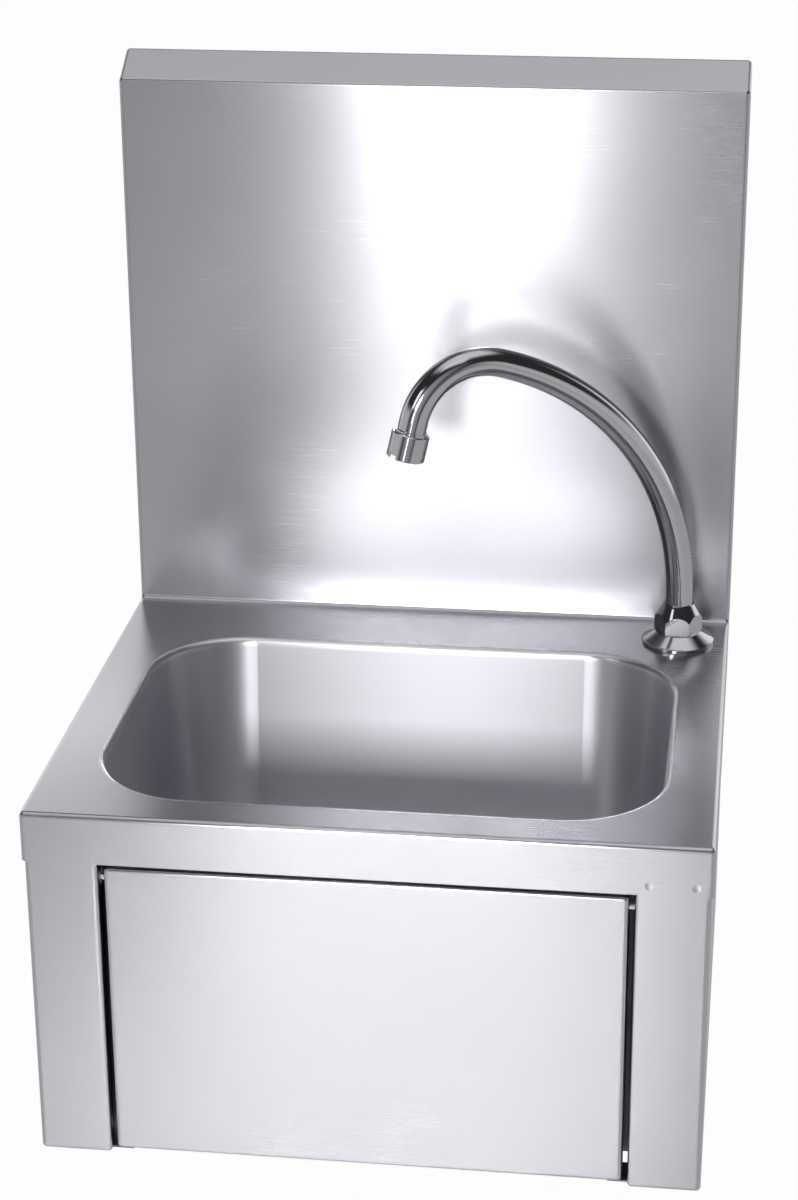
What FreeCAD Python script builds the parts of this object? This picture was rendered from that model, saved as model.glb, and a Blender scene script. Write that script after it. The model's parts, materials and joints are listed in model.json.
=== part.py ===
"""Knee-operated wall-hung hand wash sink, folded from stainless steel sheet.

Millimetres. +Z is up, +X is the user's right and +Y goes into the wall. The origin lies on the wall,
midway between the two screws of the hook rail. Every piece is one node, written to parts/NODE.step.
"""
import FreeCAD, Part
import math
import os

X = FreeCAD.Vector(1, 0, 0)
Y = FreeCAD.Vector(0, 1, 0)
Z = FreeCAD.Vector(0, 0, 1)

# ---------------------------------------------------------------- driving dimensions: sheet metal
width = 400.0             # across the side aprons
deck_depth = 332.0        # apron face to splashback face
wall_gap = 28.0           # splashback face to the wall
splash_height = 356.0     # deck to the fold of the top flange
flange_rise = 16.5        # how much the top flange climbs on its way back to the wall
casing_height = 227.0     # deck to the underside of the front posts
apron_height = 31.0
rail_drop = 56.0          # hook-rail screws below the splashback's fold
sheet = 1.2
outer_bend = 3.0          # outside radius of the bends
fold_bend = 2.4           # outside radius of the top flange's folds
side_bend = 2.6           # outside radius where a face turns into a side
cove = 3.0                # hollow radius between deck and splashback
rear_return = 12.0        # inward return along the wall, at both sides of the splashback
top_lip = 14.0            # downward return along the wall, under the top flange
corner_notch = 2.0        # relief notch behind the deck's rear corners
post_width = 43.4
post_return = 34.0        # depth of a post's inner return
post_lip = 12.0           # fold behind and under the panel's edge, at the end of that return
side_hem = 12.0           # inward return under each side
side_rear_flange = 25.0
fit_gap = 0.1             # between nested or neighbouring sheets
dimple_radius = 10.0      # two shallow spot-weld marks at the apron's right end
dimple_depth = 0.35
dimple_drop = 25.0
dimple_insets = (10.0, 36.6)

# ---------------------------------------------------------------- bowl and drain
bowl_side_margin = 32.0   # deck left and right of the bowl
bowl_front_margin = 29.0
bowl_rear_margin = 63.0
bowl_depth = 150.0
bowl_corner = 60.0
bowl_draft = 4.0          # degrees
bowl_floor_bend = 45.0
bowl_sheet = 1.0
rim_roll = 3.0            # rounded rim between deck and bowl
rim_flange = 1.5          # flat stub of the rim, butted against the deck
drain_recess_r = 38.0
drain_recess_depth = 4.0
drain_recess_slope = 5.0
drain_hole_r = 24.5
strainer_flange_r = 34.0
strainer_sheet = 1.5
strainer_slot_count = 8
strainer_slot_r = 3.0
strainer_slot_ring_r = 15.0
strainer_screw_r = 3.0
strainer_screw_head_r = 6.0
drain_gasket = 1.5
waste_flange = 3.0
waste_wall = 2.0
waste_cup_depth = 16.0
waste_tail_r = 20.95      # G 1 1/4
waste_tail_length = 16.0
waste_web = 4.0
trap_wall = 2.0
trap_head_r = 31.0
trap_head_height = 30.0
trap_neck = 14.0          # clear neck between the waste nut and the head
trap_cup_depth = 50.0
trap_grip_height = 10.0
trap_cup_lip = 2.0        # how far the cup's grip stands out from the head
trap_rib_count = 24
trap_dip_r = 14.0
trap_outlet_stub = 14.0
trap_nut_r = 25.0
trap_nut_height = 15.0
trap_nut_lip = 3.0        # inward lip at the nut's outer end
insert_relief = 0.2       # how much the outlet tube's end in the trap is turned down
outlet_tube_r = 16.0      # 32 mm waste pipe
tube_insert = 10.0        # how far a tube enters its socket

# ---------------------------------------------------------------- knee panel and its hinge
panel_side_gap = 3.3
panel_top_gap = 2.8
panel_bottom_lift = 3.6   # panel's lower edge above the posts' feet
panel_flange = 16.0       # depth of the folded edges
panel_corner = 2.6
panel_bend = 2.4
hinge_drop = 43.0         # hinge axis below the deck
hinge_setback = 9.0       # hinge axis behind the panel's face
pin_r = 3.0
pin_thread_r = 2.5
pin_head_r = 5.0
pin_head = 3.5
running_clearance = 0.05
bush_wall = 2.0
bush_flange = 1.0
bush_lip = 1.2            # how far the flange stands out from the barrel
bush_length = 4.0
hinge_nut_flats = 8.0
hinge_nut_height = 4.0
stiffener_height = 40.0
stiffener_flange = 10.0
stiffener_depth = 8.0
stiffener_margin = 14.0   # from the panel's sides
pad_r = 15.0
pad_thickness = 4.0
touch_gap = 0.3           # between pieces that only meet when the panel is pushed
stop_leg = 42.0
stop_flange = 9.0
stop_inset = 60.0         # side apron to the stop angle's end
buffer_r = 5.0
buffer_inset = 100.0      # side apron to the buffer

# ---------------------------------------------------------------- knee valve
valve_inset = 105.0       # side apron to the valve's axis
valve_drop = 190.0        # valve axis below the deck
crossbar_setback = 54.0   # apron face to the valve crossbar
crossbar_height = 50.0
crossbar_lip = 12.0
plunger_travel = 13.0
plunger_r = 4.0
cap_r = 9.0
cap_dome_r = 14.0
cap_length = 14.0
cap_bore_depth = 8.0
bonnet_r = 10.0
bonnet_nose = 10.0
bonnet_insert = 8.0
locknut_flats = 27.0
locknut_height = 5.0
seal_wire_r = 0.9
valve_body_r = 15.0
valve_flats = 28.0
outlet_chamber = 15.0
outlet_chamber_r = 9.0
seat_thickness = 4.0
seat_r = 6.0
spring_room = 12.0        # left in the inlet chamber when the plunger is pushed home
inlet_chamber_r = 11.0
poppet_r = 9.5
poppet_thickness = 5.0
cap_insert = 8.0
inlet_cap_collar = 6.0
spring_r = 7.0
spring_wire_r = 0.7
spring_turns = 5
port_r = 9.0
port_length = 10.0
port_bore_r = 4.5

# ---------------------------------------------------------------- mixer under the bowl
mixer_setback = 82.0      # splashback face to the mixer's axis
mixer_r = 16.0
mixer_length = 100.0
inlet_pitch = 70.0        # hot at the left, cold at the right
mixer_pad = (60.0, 18.0)
mixer_pad_depth = 18.0    # mixer axis to the back of its pad
mixer_bore_r = 8.0
inlet_thread_r = 10.48    # G 1/2
inlet_thread = 14.0
union_flats = 24.0
union_collar = 8.0
union_insert = 9.0
union_insert_r = 9.0
check_valve_r = 7.0
check_valve_length = 12.0
filter_thickness = 2.0
gland_flats = 22.0
gland_height = 8.0
spindle_r = 4.0
spindle_disc_r = 7.5
knob_r = 16.0
knob_height = 18.0
knob_rib_count = 20
knob_screw_r = 2.0
knob_sink = 2.0           # depth of the recess for the screw's head
knob_gap = 2.0            # gland nut to knob
bracket_sheet = 2.0
bracket_width = 70.0
bracket_leg = 25.0
screw_r = 2.5
screw_head_r = 4.5
screw_head = 3.0
screw_length = 8.0
screw_offset = 24.0

# ---------------------------------------------------------------- supply tubes
tube_r = 6.0
tube_bore_r = 5.0
tube_bend = 30.0
nut_flats = 22.0
nut_height = 12.0
olive_wall = 1.2

# ---------------------------------------------------------------- spout
spout_inset = 33.0        # side apron to the spout's axis
spout_setback = 34.0      # splashback face to the spout's axis
spout_heading = 205.0     # degrees from +X, pointing to the bowl's centre line
spout_r = 9.0
spout_bore_r = 7.5
spout_straight = 34.5     # deck to the start of the long bend
spout_long_bend = 176.0
spout_long_turn = 73.5    # degrees
spout_short_bend = 44.0
spout_short_turn = 92.7   # degrees
spout_tail = 24.6         # end of the short bend to the outlet
aerator_r = 12.0
aerator_length = 18.0
aerator_wall = 1.6
aerator_step = 1.5
aerator_notch = (6.0, 3.0)
insert_length = 10.0
insert_recess = 2.0
escutcheon_r = 23.5
escutcheon_edge = 2.2
escutcheon_height = 8.0
escutcheon_wall = 1.2
gasket_r = 18.0
gasket_thickness = 1.5
shank_flange_r = 17.0
shank_flange = 2.5
shank_r = 10.48           # G 1/2
shank_drop = 48.0         # deck to the shank's lower end
shank_bore_r = 6.5
swivel_r = 12.0           # outside of the shank's swivel socket
swivel_top = 18.0         # deck to the socket's mouth
tap_hole_r = 11.0
sleeve_r = 10.5
sleeve_length = 11.0
oring_wire_r = 0.6
oring_depth = 1.25
oring_inset = 3.0
ring_thickness = 1.8
cone_nut_flats = 27.0
cone_nut_hex = 9.0
cone_nut_height = 19.0
cone_nut_top_r = 10.6
deck_washer_r = 17.0
deck_washer = 2.0
shank_nut_flats = 27.0
shank_nut_height = 7.0

# ---------------------------------------------------------------- wall fixings
rail_sheet = 2.0
rail_inset = 50.0         # side apron to the rail's end
rail_height_below = 16.0
rail_shelf = 22.0         # shelf above the screws
rail_hook = 14.0
rail_hook_gap = 6.0       # wall to the hook's inside
hanger_height = 30.0
hanger_drop = 24.0
wall_hole_r = 3.5
rail_hole_inset = 50.0    # rail's end to its screw
crossbar_top_drop = 140.0  # rear crossbar's top edge below the deck
rear_bar_height = 38.0
rear_bar_lip = 20.0
rear_hole_inset = 80.0    # side apron to the slotted hole
rear_slot_length = 16.0
hole_overlap = 1.0        # how far a cutting tool runs past the surface it opens

# ---------------------------------------------------------------- places that follow from them
deck_z = rail_drop - splash_height
deck_under_z = deck_z - sheet
fold_z = deck_z + splash_height
top_z = fold_z + flange_rise
bottom_z = deck_z - casing_height
face_y = -wall_gap
front_y = face_y - deck_depth
bowl_x = width - 2 * bowl_side_margin
bowl_y = deck_depth - bowl_front_margin - bowl_rear_margin
bowl_centre_y = face_y - bowl_rear_margin - bowl_y / 2
half_width = width / 2
valve_x = half_width - valve_inset
spout_x = half_width - spout_inset
rail_width = width - 2 * rail_inset
rail_hole_spacing = rail_width - 2 * rail_hole_inset
rear_hole_spacing = width - 2 * rear_hole_inset
side_x = half_width - sheet - fit_gap
post_inner_x = side_x - post_width
post_y = front_y + sheet + fit_gap
panel_half = post_inner_x - panel_side_gap
panel_top_z = deck_z - apron_height - panel_top_gap
panel_bottom_z = bottom_z + panel_bottom_lift
panel_back_y = post_y + panel_flange
hinge_y = post_y + hinge_setback
hinge_z = deck_z - hinge_drop
valve_z = deck_z - valve_drop
crossbar_y = front_y + crossbar_setback
valve_front_y = crossbar_y + sheet
floor_z = deck_z - bowl_depth
recess_z = floor_z - drain_recess_depth
recess_under_z = recess_z - bowl_sheet
mixer_y = face_y - mixer_setback
spout_y = face_y - spout_setback


def point(x, y, z):
    return FreeCAD.Vector(x, y, z)


def unit(vector):
    return vector * (1.0 / vector.Length)


# ---------------------------------------------------------------- building blocks
def block(low, high):
    """Box between two corners."""
    size = point(*high) - point(*low)
    return Part.makeBox(size.x, size.y, size.z, point(*low))


def rod(radius, start, axis, length):
    return Part.makeCylinder(radius, length, start, axis)


def placed(solid, base, axis):
    """A solid drawn at the origin along +Z, moved to base and turned to point along axis."""
    solid.Placement = FreeCAD.Placement(base, FreeCAD.Rotation(Z, axis))
    return solid


def turned(profile, base, axis=Z):
    """Turned piece from a closed outline of (radius, height) points."""
    loop = [point(radius, 0, height) for radius, height in profile]
    face = Part.Face(Part.makePolygon(loop + loop[:1]))
    return placed(face.revolve(point(0, 0, 0), Z, 360), base, axis)


def ring(outer, inner, base, axis, height):
    return turned([(inner, 0), (outer, 0), (outer, height), (inner, height)], base, axis)


def hexagon(flats, base, axis, height):
    """Six-sided bar; flats is the distance across its flats."""
    corner = flats / math.sqrt(3)
    loop = [point(corner * math.cos(math.radians(a)), corner * math.sin(math.radians(a)), 0)
            for a in range(0, 361, 60)]
    return placed(Part.Face(Part.makePolygon(loop)).extrude(Z * height), base, axis)


def hex_nut(flats, bore, base, axis, height):
    """Hexagon nut with turned corners on both faces."""
    corner = flats / math.sqrt(3)
    land = flats / 2 - 0.3
    chamfer = (corner - land) * 0.6
    envelope = turned([(bore, 0), (land, 0), (corner, chamfer), (corner, height - chamfer),
                       (land, height), (bore, height)], base, axis)
    return hexagon(flats, base, axis, height).common(envelope)


def o_ring(ring_radius, wire_radius, centre, axis):
    return Part.makeTorus(ring_radius, wire_radius, centre, axis)


def corner_arc(before, here, radius, after):
    """Start, middle, end and centre of the arc that rounds a corner."""
    back, ahead = unit(before - here), unit(after - here)
    half = back.getAngle(ahead) / 2
    inward = unit(back + ahead)
    centre = here + inward * (radius / math.sin(half))
    reach = radius / math.tan(half)
    return here + back * reach, centre - inward * radius, here + ahead * reach, centre


def rounded_outline(corners):
    """Closed wire through (point, radius) corners, each rounded to its radius."""
    arcs = []
    for index, (here, radius) in enumerate(corners):
        before, after = corners[index - 1][0], corners[(index + 1) % len(corners)][0]
        if radius > 0:
            arcs.append(corner_arc(before, here, radius, after)[:3])
        else:
            arcs.append((here, None, here))
    edges = []
    for index, (start, middle, end) in enumerate(arcs):
        if middle is not None:
            edges.append(Part.Arc(start, middle, end).toShape())
        edges.append(Part.LineSegment(end, arcs[(index + 1) % len(arcs)][0]).toShape())
    return Part.Wire(edges)


def side_shift(before, here, after, along, amount):
    """Step to the left of a path at a corner, and whether the path turns left there."""
    first, second = unit(here - before), unit(after - here)
    left_first, left_second = along.cross(first), along.cross(second)
    step = (left_first + left_second) * (amount / (1 + left_first.dot(left_second)))
    return step, along.dot(first.cross(second)) > 0


def inset(corners, along, amount):
    """A left-turning outline moved inwards, with its bends kept concentric."""
    moved = []
    for index, (here, radius) in enumerate(corners):
        before, after = corners[index - 1][0], corners[(index + 1) % len(corners)][0]
        step, turns_left = side_shift(before, here, after, along, amount)
        moved.append((here + step, radius - amount if turns_left else radius + amount))
    return moved


def folded_box(corners, along, length, end_bend):
    """Closed box of sheet: an outline drawn out along an axis, its end edges bent as well."""
    def envelope(depth):
        outline = [(p + along * depth, r) for p, r in inset(corners, along, depth)]
        solid = Part.Face(rounded_outline(outline)).extrude(along * (length - 2 * depth))
        ends = [edge for edge in solid.Edges
                if len({round(along.dot(v.Point), 3) for v in edge.Vertexes}) == 1]
        return solid.makeFillet(end_bend - depth, ends)
    return envelope(0).cut(envelope(sheet))


def folded_strip(points, along, length, thickness=sheet, inner_bend=outer_bend - sheet):
    """Bent strip: points run along one face, and the sheet lies to the left of them."""
    near, far = [], []
    last = len(points) - 1
    for index, here in enumerate(points):
        if index in (0, last):
            ahead = points[1] - points[0] if index == 0 else points[last] - points[last - 1]
            near.append((here, 0))
            far.append((here + unit(along.cross(ahead)) * thickness, 0))
            continue
        step, turns_left = side_shift(points[index - 1], here, points[index + 1], along, thickness)
        outside, inside = inner_bend + thickness, inner_bend
        near.append((here, outside if turns_left else inside))
        far.append((here + step, inside if turns_left else outside))
    return Part.Face(rounded_outline(near + far[::-1])).extrude(along * length)


def rounded_rectangle(centre_x, centre_y, z, size_x, size_y, radius):
    """Closed horizontal wire."""
    half_x, half_y = size_x / 2, size_y / 2
    signs = ((-1, -1), (1, -1), (1, 1), (-1, 1))
    return rounded_outline([(point(centre_x + sx * half_x, centre_y + sy * half_y, z), radius)
                            for sx, sy in signs])


def bent_bar(points, bends, radius):
    """Round bar along straight runs joined by tangent arcs."""
    pieces = []
    start = points[0]
    for index, bend in enumerate(bends, 1):
        before, here, after = points[index - 1], points[index], points[index + 1]
        enter, _, leave, centre = corner_arc(before, here, bend, after)
        heading = unit(here - before)
        if (enter - start).Length > 1e-6:
            pieces.append(rod(radius, start, heading, (enter - start).Length))
        axis = unit(heading.cross(unit(after - here)))
        turn = math.degrees(heading.getAngle(after - here))
        disc = Part.Face(Part.Wire(Part.makeCircle(radius, enter, heading)))
        pieces.append(disc.revolve(centre, axis, turn))
        start = leave
    end = points[-1]
    pieces.append(rod(radius, start, unit(end - points[-2]), (end - start).Length))
    return pieces[0].multiFuse(pieces[1:])


def bent_tube(points, bends, outer, bore):
    return bent_bar(points, bends, outer).cut(bent_bar(points, bends, bore))


def mirrored(shape):
    """The same piece at the other side of the sink."""
    return shape.mirror(point(0, 0, 0), X)


# ---------------------------------------------------------------- sheet-metal pieces
def deck_and_splashback():
    """One folded sheet: front and side aprons, deck, splashback, sloping top flange."""
    low_z = bottom_z
    outline = [(point(-half_width, front_y, low_z), outer_bend),
               (point(-half_width, 0, low_z), outer_bend),
               (point(-half_width, 0, top_z), fold_bend),
               (point(-half_width, face_y, fold_z), fold_bend),
               (point(-half_width, face_y, deck_z), cove),
               (point(-half_width, front_y, deck_z), outer_bend)]
    shell = folded_box(outline, X, width, side_bend)
    far = width
    shell = shell.cut(block((-far, front_y - far, low_z - far), (far, far, deck_z - apron_height)))
    shell = shell.cut(block((-far, face_y + corner_notch, low_z), (far, far, deck_z + corner_notch)))
    back_x = half_width - rear_return
    shell = shell.cut(block((-back_x, -wall_gap / 2, deck_z), (back_x, far, top_z - top_lip)))
    reach = rim_roll + rim_flange
    opening = rounded_rectangle(0, bowl_centre_y, deck_z - apron_height, bowl_x + 2 * reach,
                                bowl_y + 2 * reach, bowl_corner + reach)
    shell = shell.cut(Part.Face(opening).extrude(Z * (2 * apron_height)))
    shell = shell.cut(rod(tap_hole_r, point(spout_x, spout_y, deck_z - sheet - hole_overlap), Z,
                          sheet + 2 * hole_overlap))
    for dimple_inset in dimple_insets:
        centre = point(half_width - dimple_inset, front_y - dimple_radius + dimple_depth,
                       deck_z - dimple_drop)
        shell = shell.cut(Part.makeSphere(dimple_radius, centre))
    return shell


def bowl_body(grow):
    """Solid bowl shape, grown outwards by grow, with its drain recess."""
    taper = bowl_depth * math.tan(math.radians(bowl_draft))
    bottom_z_here = floor_z - grow
    mouth = rounded_rectangle(0, bowl_centre_y, deck_z, bowl_x + 2 * grow, bowl_y + 2 * grow,
                              bowl_corner + grow)
    floor = rounded_rectangle(0, bowl_centre_y, bottom_z_here, bowl_x + 2 * (grow - taper),
                              bowl_y + 2 * (grow - taper), bowl_corner + grow - taper)
    solid = Part.makeLoft([mouth, floor], True, True)
    low = [edge for edge in solid.Edges
           if all(abs(v.Z - bottom_z_here) < 1e-3 for v in edge.Vertexes)]
    solid = solid.makeFillet(bowl_floor_bend + grow, low)
    recess = Part.makeCone(drain_recess_r + drain_recess_slope + grow, drain_recess_r + grow,
                           drain_recess_depth, point(0, bowl_centre_y, bottom_z_here), -Z)
    return solid.fuse(recess)


def bowl():
    """Pressed bowl with a rolled rim, butted flush into the deck."""
    reach = rim_roll + rim_flange
    flange = rounded_rectangle(0, bowl_centre_y, deck_z - bowl_sheet, bowl_x + 2 * reach,
                               bowl_y + 2 * reach, bowl_corner + reach)
    shell = bowl_body(bowl_sheet).fuse(Part.Face(flange).extrude(Z * bowl_sheet))
    shell = shell.cut(bowl_body(0))
    shell = shell.cut(rod(drain_hole_r, point(0, bowl_centre_y, recess_under_z - hole_overlap), Z,
                          bowl_sheet + 2 * hole_overlap))

    def rim_edges(solid, z, half_x, half_y):
        """Edges of the closed loop at height z that reaches out to half_x and half_y."""
        found = []
        for edge in solid.Edges:
            box = edge.BoundBox
            level = abs(box.ZMin - z) < 1e-3 and abs(box.ZMax - z) < 1e-3
            outside = max(abs(box.XMin), abs(box.XMax)) > half_x + 0.5
            outside = outside or max(abs(box.YMin - bowl_centre_y),
                                     abs(box.YMax - bowl_centre_y)) > half_y + 0.5
            if level and not outside:
                found.append(edge)
        return found

    shell = shell.makeFillet(rim_roll, rim_edges(shell, deck_z, bowl_x / 2, bowl_y / 2))
    under = rim_edges(shell, deck_z - bowl_sheet, bowl_x / 2 + bowl_sheet, bowl_y / 2 + bowl_sheet)
    return shell.makeFillet(rim_roll - bowl_sheet, under)


def right_side():
    """Side sheet, front post with its inner return and lip, foot hem and rear flange in one."""
    outline = [(point(post_inner_x, post_y, bottom_z), outer_bend),
               (point(side_x, post_y, bottom_z), outer_bend),
               (point(side_x, 0, bottom_z), outer_bend),
               (point(post_inner_x, 0, bottom_z), outer_bend)]
    top = deck_z - outer_bend - fit_gap
    shell = folded_box(outline, Z, top - bottom_z + post_return, side_bend)
    far = width
    shell = shell.cut(block((0, front_y - far, top), (far, far, top + far)))
    lip_y = post_y + post_return
    open_y = lip_y - 2 * outer_bend
    shell = shell.cut(block((0, open_y, bottom_z - far), (side_x - side_rear_flange, far, top + far)))
    shell = shell.cut(block((0, open_y, bottom_z - far),
                            (side_x - side_hem, far, bottom_z + outer_bend)))
    low = bottom_z + outer_bend
    lip = folded_strip([point(post_inner_x - post_lip, lip_y, low), point(post_inner_x, lip_y, low),
                        point(post_inner_x, open_y, low)], Z, panel_top_z - low)
    foot = block((post_inner_x - post_lip, post_y + 2 * outer_bend, bottom_z),
                 (post_inner_x + 2 * outer_bend, open_y - outer_bend, bottom_z + sheet))
    shell = shell.fuse(lip).fuse(foot).removeSplitter()
    return shell.cut(rod(pin_r + running_clearance + bush_wall, point(post_inner_x - hole_overlap,
                         hinge_y, hinge_z), X, sheet + 2 * hole_overlap))


def rear_crossbar():
    """Channel between the two sides, slotted for the lower pair of wall screws."""
    high = deck_z - crossbar_top_drop
    low = high - rear_bar_height
    length = 2 * (side_x - outer_bend)
    lip_y = -sheet - rear_bar_lip
    bar = folded_strip([point(-length / 2, lip_y, high), point(-length / 2, -sheet, high),
                        point(-length / 2, -sheet, low), point(-length / 2, lip_y, low)][::-1],
                       X, length)
    middle = (high + low) / 2
    for side in (-1, 1):
        x = side * rear_hole_spacing / 2
        slot_half = rear_slot_length / 2 - wall_hole_r
        slot = block((x - slot_half, -2 * sheet - hole_overlap, middle - wall_hole_r),
                     (x + slot_half, hole_overlap, middle + wall_hole_r))
        for end in (-slot_half, slot_half):
            slot = slot.fuse(rod(wall_hole_r, point(x + end, -2 * sheet - hole_overlap, middle), Y,
                                 2 * sheet + 2 * hole_overlap))
        bar = bar.cut(slot)
    for side in (-1, 1):
        hole = point(valve_x + side * screw_offset, bracket_screw_y(), low - hole_overlap)
        bar = bar.cut(rod(screw_r, hole, Z, sheet + 2 * hole_overlap))
    return bar


def bracket_screw_y():
    """Line of the screws that hold the mixer bracket to the rear crossbar."""
    return -sheet - rear_bar_lip / 2


def valve_crossbar():
    """Channel behind the knee panel that carries the valve."""
    low = valve_z - crossbar_height / 2
    high = valve_z + crossbar_height / 2
    length = 2 * (side_x - sheet - fit_gap)
    bar = folded_strip([point(-length / 2, crossbar_y + crossbar_lip, high),
                        point(-length / 2, crossbar_y, high),
                        point(-length / 2, crossbar_y, low),
                        point(-length / 2, crossbar_y + crossbar_lip, low)], X, length)
    return bar.cut(rod(bonnet_r + fit_gap, point(valve_x, crossbar_y - hole_overlap, valve_z), Y,
                       sheet + 2 * hole_overlap))


def wall_hook_rail():
    """Folded rail screwed to the wall; its hook carries the splashback's hanger."""
    x = -rail_width / 2
    hook_y = -rail_sheet - rail_hook_gap - rail_sheet
    rail = folded_strip([point(x, hook_y, rail_shelf + rail_hook), point(x, hook_y, rail_shelf),
                         point(x, -rail_sheet, rail_shelf), point(x, -rail_sheet, -rail_height_below)],
                        X, rail_width, rail_sheet, rail_sheet / 2)
    for side in (-1, 1):
        rail = rail.cut(rod(wall_hole_r, point(side * rail_hole_spacing / 2,
                                               -rail_sheet - hole_overlap, 0), Y,
                            rail_sheet + 2 * hole_overlap))
    return rail


def splashback_hanger():
    """Folded strip welded behind the splashback; its lip drops behind the rail's hook."""
    x = -rail_width / 2
    weld_y = face_y + sheet
    lip_y = -rail_sheet - rail_hook_gap / 2 + rail_sheet / 2
    lip_low = rail_shelf + rail_sheet
    shelf_z = lip_low + hanger_drop
    points = [point(x, lip_y, lip_low), point(x, lip_y, shelf_z),
              point(x, weld_y, shelf_z), point(x, weld_y, shelf_z - hanger_height)]
    return folded_strip(points, X, rail_width, rail_sheet, rail_sheet / 2)


def stop_angle():
    """Strip under the deck that the top of the knee panel rests back on."""
    back_y = stop_leg_y()
    half = half_width - stop_inset
    return folded_strip([point(-half, back_y, deck_under_z - stop_leg),
                         point(-half, back_y, deck_under_z),
                         point(-half, back_y - stop_flange, deck_under_z)], X, 2 * half)


def stop_leg_y():
    """Rear face of the stop angle's leg, just ahead of the bowl's rim flange."""
    return bowl_centre_y - bowl_y / 2 - rim_roll - rim_flange - touch_gap


def stop_buffers():
    """Rubber buttons between the stop angle and the panel's top flange."""
    start_y = panel_back_y + touch_gap
    length = stop_leg_y() - sheet - start_y
    z = panel_top_z - buffer_r
    buttons = [rod(buffer_r, point(side * (half_width - buffer_inset), start_y, z), Y, length)
               for side in (-1, 1)]
    return Part.makeCompound(buttons)


# ---------------------------------------------------------------- knee panel
def knee_panel():
    """Folded tray whose two side flanges carry the hinge pins."""
    left, right = -panel_half, panel_half
    outline = [(point(left, post_y, panel_bottom_z), panel_corner),
               (point(left, post_y, panel_top_z), panel_corner),
               (point(right, post_y, panel_top_z), panel_corner),
               (point(right, post_y, panel_bottom_z), panel_corner)]
    far = width
    tray = folded_box(outline, Y, 2 * panel_flange, panel_bend)
    tray = tray.cut(block((-far, panel_back_y, bottom_z - far), (far, far, far)))
    return tray.cut(rod(pin_thread_r + running_clearance, point(-far / 2, hinge_y, hinge_z), X, far))


def panel_stiffener():
    """Hat-section strip welded across the inside of the panel at plunger height."""
    inner_y = post_y + sheet
    half_height = stiffener_height / 2
    x = -(panel_half - stiffener_margin)
    rise_y = inner_y + stiffener_depth
    crown = half_height - stiffener_flange
    points = [point(x, inner_y + sheet, valve_z - half_height),
              point(x, inner_y + sheet, valve_z - crown),
              point(x, rise_y, valve_z - crown),
              point(x, rise_y, valve_z + crown),
              point(x, inner_y + sheet, valve_z + crown),
              point(x, inner_y + sheet, valve_z + half_height)]
    return folded_strip(points, X, -2 * x)


def stiffener_back_y():
    return post_y + sheet + stiffener_depth


def push_pad():
    """Rubber pad that meets the plunger, domed edge towards it."""
    edge = 1.0
    return turned([(0, 0), (pad_r, 0), (pad_r, pad_thickness - edge), (pad_r - edge, pad_thickness),
                   (0, pad_thickness)], point(valve_x, stiffener_back_y(), valve_z), Y)


def hinge_pin():
    """Shoulder screw: head in the post, shank in the bush, thread in the panel's flange."""
    head_x = post_inner_x + sheet + bush_length + fit_gap
    shoulder = head_x - panel_half
    thread = sheet + hinge_nut_height + 1.0
    profile = [(0, 0), (pin_head_r - 0.5, 0), (pin_head_r, 0.5), (pin_head_r, pin_head),
               (pin_r, pin_head), (pin_r, pin_head + shoulder),
               (pin_thread_r, pin_head + shoulder), (pin_thread_r, pin_head + shoulder + thread),
               (0, pin_head + shoulder + thread)]
    pin = turned(profile, point(head_x + pin_head, hinge_y, hinge_z), -X)
    socket = hexagon(pin_r, point(head_x + pin_head + hole_overlap, hinge_y, hinge_z), -X,
                     pin_head / 2 + hole_overlap)
    return pin.cut(socket)


def hinge_bush():
    """Nylon bush through the post's inner return, its flange inside the post."""
    bore = pin_r + running_clearance
    outer = bore + bush_wall
    flange_r = outer + bush_lip
    return turned([(bore, 0), (outer, 0), (outer, sheet), (flange_r, sheet),
                   (flange_r, sheet + bush_flange), (outer, sheet + bush_flange),
                   (outer, sheet + bush_length), (bore, sheet + bush_length)],
                  point(post_inner_x, hinge_y, hinge_z), X)


def hinge_nut():
    return hex_nut(hinge_nut_flats, pin_thread_r, point(panel_half - sheet, hinge_y, hinge_z), -X,
                   hinge_nut_height)


# ---------------------------------------------------------------- knee valve, axis along +Y
def on_valve(depth):
    """Point on the valve's axis, depth behind the front of its body."""
    return point(valve_x, valve_front_y + depth, valve_z)


seat_depth = bonnet_insert + outlet_chamber
chamber_depth = seat_depth + seat_thickness
inlet_chamber = poppet_thickness + plunger_travel + spring_room
chamber_end = chamber_depth + inlet_chamber
valve_length = chamber_end + cap_insert
outlet_depth = bonnet_insert + outlet_chamber / 2


def valve_body():
    """Brass body: bonnet socket, outlet chamber, seat and inlet chamber on one axis."""
    body = rod(valve_body_r, on_valve(0), Y, valve_length)
    body = body.fuse(rod(port_r, on_valve(outlet_depth), X, valve_body_r + port_length))
    body = body.cut(rod(bonnet_r, on_valve(0), Y, bonnet_insert))
    body = body.cut(rod(outlet_chamber_r, on_valve(bonnet_insert), Y, outlet_chamber))
    body = body.cut(rod(seat_r, on_valve(seat_depth), Y, seat_thickness))
    body = body.cut(rod(inlet_chamber_r, on_valve(chamber_depth), Y, inlet_chamber + cap_insert))
    tube_mouth = point(valve_x + valve_body_r, on_valve(outlet_depth).y, valve_z)
    body = body.cut(rod(port_bore_r, on_valve(outlet_depth), X, valve_body_r + port_length))
    return body.cut(rod(tube_r, tube_mouth, X, port_length))


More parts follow.
